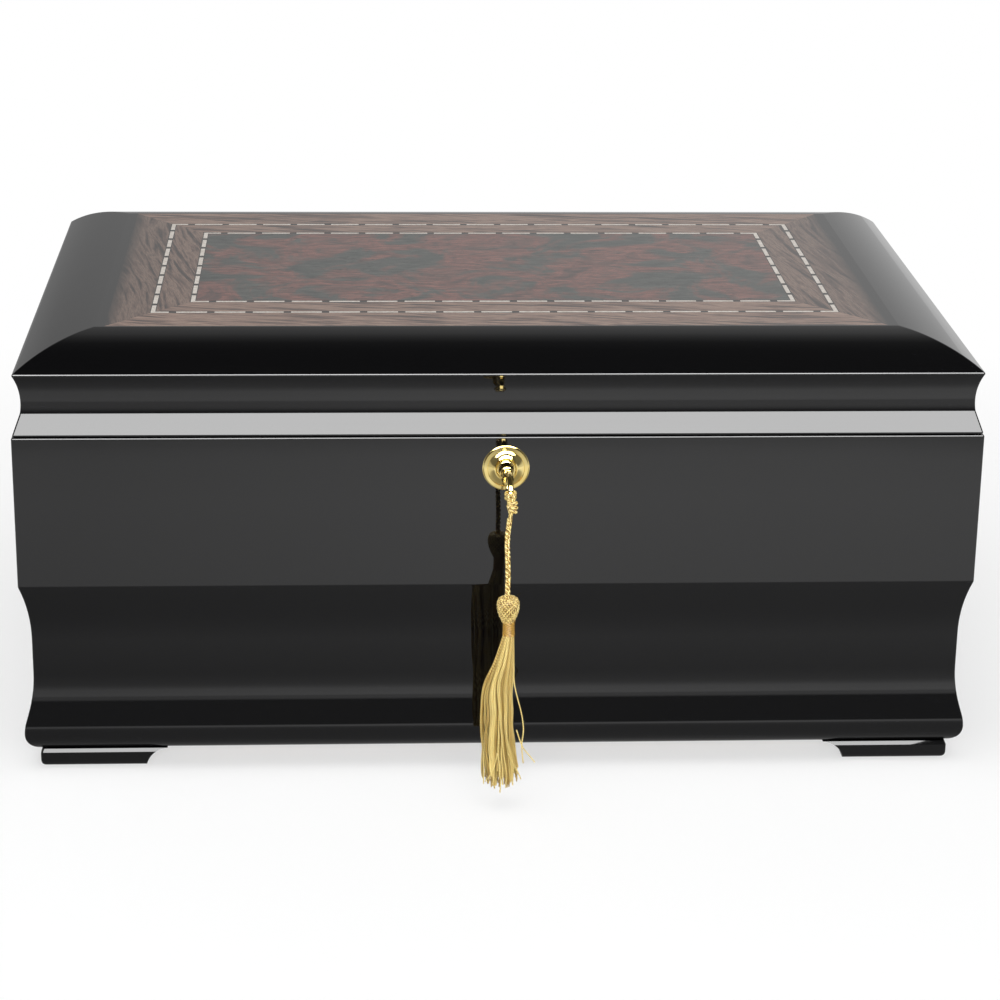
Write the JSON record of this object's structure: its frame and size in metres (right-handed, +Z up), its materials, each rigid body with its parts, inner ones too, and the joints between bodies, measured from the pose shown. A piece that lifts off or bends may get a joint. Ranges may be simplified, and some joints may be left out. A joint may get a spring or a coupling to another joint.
{
  "type": "humidor",
  "caption": "Black-lacquered desktop humidor with a burl and string inlaid lid, a round brass escutcheon, a key with a gold tassel, and a cedar-lined interior with a tray.",
  "frame": {"origin": "middle of the footprint of the case, on the surface that the feet stand on", "axes": "+Z up, +X to the right when facing the lock, -Y out of the front face"},
  "size_m": [0.4624, 0.3635, 0.216],
  "materials": {
    "black_lacquer": "board with a deep black high-gloss lacquer, polished",
    "lid_substrate": "board under the lid's veneer and lacquer",
    "base_board": "board, satin black underneath",
    "spanish_cedar": "unvarnished Spanish cedar, planed and sanded",
    "burl_veneer": "dark burl veneer under clear high-gloss lacquer",
    "rosewood_veneer": "rosewood veneer under clear high-gloss lacquer",
    "dashed_string": "pale and black wood stringing under clear high-gloss lacquer",
    "polished_brass": "polished brass",
    "brass_screws": "polished brass, slotted heads",
    "lock_steel": "bright mild steel",
    "steel_screws": "zinc-plated steel, slotted heads",
    "steel_discs": "bright steel",
    "black_felt": "pressed wool felt",
    "gold_thread": "lustrous gold rayon thread",
    "black_plastic": "moulded black plastic, fine texture",
    "humidifier_foam": "dense green floral foam, fine cells",
    "magnet_nickel": "nickel-plated magnets",
    "dial_paper": "printed scale with plain numbers",
    "needle_red": "thin red-painted pointer",
    "clear_glass": "thin clear window"
  },
  "bodies": {
    "case": {"case_front_wall": "black_lacquer", "case_back_wall": "black_lacquer", "case_left_wall": "black_lacquer", "case_right_wall": "black_lacquer", "case_base_panel": "base_board", "foot_front_left": "black_lacquer", "foot_front_right": "black_lacquer", "foot_back_left": "black_lacquer", "foot_back_right": "black_lacquer", "foot_felt_pads": "black_felt", "foot_screws": "steel_screws", "liner_front": "spanish_cedar", "liner_back": "spanish_cedar", "liner_left": "spanish_cedar", "liner_right": "spanish_cedar", "liner_floor": "spanish_cedar", "tray_runners": "spanish_cedar", "lock_case": "polished_brass", "escutcheon": "polished_brass", "hinge_case_leaves": "polished_brass", "hinge_pins": "polished_brass", "case_brass_screws": "brass_screws"},
    "lock_hub": {"lock_hub": "lock_steel"},
    "lock_bolt": {"lock_bolt": "lock_steel"},
    "key": {"key": "polished_brass", "tassel_hitch": "gold_thread"},
    "tassel_knot": {"tassel_knot": "gold_thread"},
    "tassel": {"tassel_cord": "gold_thread", "tassel_head": "gold_thread", "tassel_collar": "gold_thread", "tassel_skirt": "gold_thread"},
    "lid": {"lid_front_rail": "black_lacquer", "lid_back_rail": "black_lacquer", "lid_left_rail": "black_lacquer", "lid_right_rail": "black_lacquer", "lid_top_panel": "lid_substrate", "lid_ceiling": "spanish_cedar", "lid_liner": "spanish_cedar", "burl_panel": "burl_veneer", "inner_string": "dashed_string", "outer_string": "dashed_string", "rosewood_inner_border": "rosewood_veneer", "rosewood_outer_border": "rosewood_veneer", "strike_plate": "polished_brass", "hinge_lid_leaves": "polished_brass", "lid_brass_screws": "brass_screws", "humidifier_discs": "steel_discs", "hygrometer_case": "polished_brass", "hygrometer_dial": "dial_paper", "hygrometer_glass": "clear_glass"},
    "needle": {"hygrometer_needle": "needle_red"},
    "humidifier": {"humidifier_housing": "black_plastic", "humidifier_grille": "black_plastic", "humidifier_foam": "humidifier_foam", "humidifier_magnets": "magnet_nickel"},
    "tray": {"tray_long_sides": "spanish_cedar", "tray_end_boards": "spanish_cedar", "tray_floor": "spanish_cedar"},
    "tray_divider": {"tray_divider": "spanish_cedar"},
    "case_divider": {"case_divider": "spanish_cedar"}
  },
  "joints": [
    {"name": "lid_hinge", "type": "hinge", "parent": "case", "child": "lid", "pos_m": [0, 0.1542, 0.1722], "axis": [-1, 0, 0], "range_deg": [0, 95]},
    {"name": "key_turn", "type": "hinge", "parent": "case", "child": "lock_hub", "pos_m": [0.002, -0.1522, 0.1566], "axis": [0, 1, 0], "range_deg": [0, 90]},
    {"name": "bolt_slide", "type": "slide", "parent": "case", "child": "lock_bolt", "axis": [1, 0, 0], "range_m": [0, 0.00651]},
    {"name": "key_withdraw", "type": "slide", "parent": "lock_hub", "child": "key", "axis": [0, -1, 0], "range_m": [0, 0.016]},
    {"name": "tassel_draw", "type": "slide", "parent": "case", "child": "tassel_knot", "axis": [0, -1, 0], "range_m": [0, 0.016]},
    {"name": "tassel_swing", "type": "hinge", "parent": "tassel_knot", "child": "tassel", "pos_m": [0.002, -0.1962, 0.1476], "axis": [0, 1, 0], "range_deg": [-35, 35]},
    {"name": "tray_lift", "type": "slide", "parent": "case", "child": "tray", "axis": [0, 0, 1], "range_m": [0, 0.018]},
    {"name": "tray_divider_slide", "type": "slide", "parent": "tray", "child": "tray_divider", "axis": [1, 0, 0], "range_m": [-0.19, 0.19]},
    {"name": "case_divider_slide", "type": "slide", "parent": "case", "child": "case_divider", "axis": [1, 0, 0], "range_m": [-0.2, 0.2]},
    {"name": "humidifier_release", "type": "slide", "parent": "lid", "child": "humidifier", "axis": [0, 0, -1], "range_m": [0, 0.012]},
    {"name": "needle_turn", "type": "hinge", "parent": "lid", "child": "needle", "pos_m": [0.105, 0, 0.1995], "axis": [0, 0, 1], "range_deg": [-135, 135]}
  ],
  "couplings": [
    {"joint": "key_turn", "follows": "bolt_slide", "rad_per_m": 241.47},
    {"joint": "tassel_draw", "follows": "key_withdraw", "ratio": 1}
  ]
}
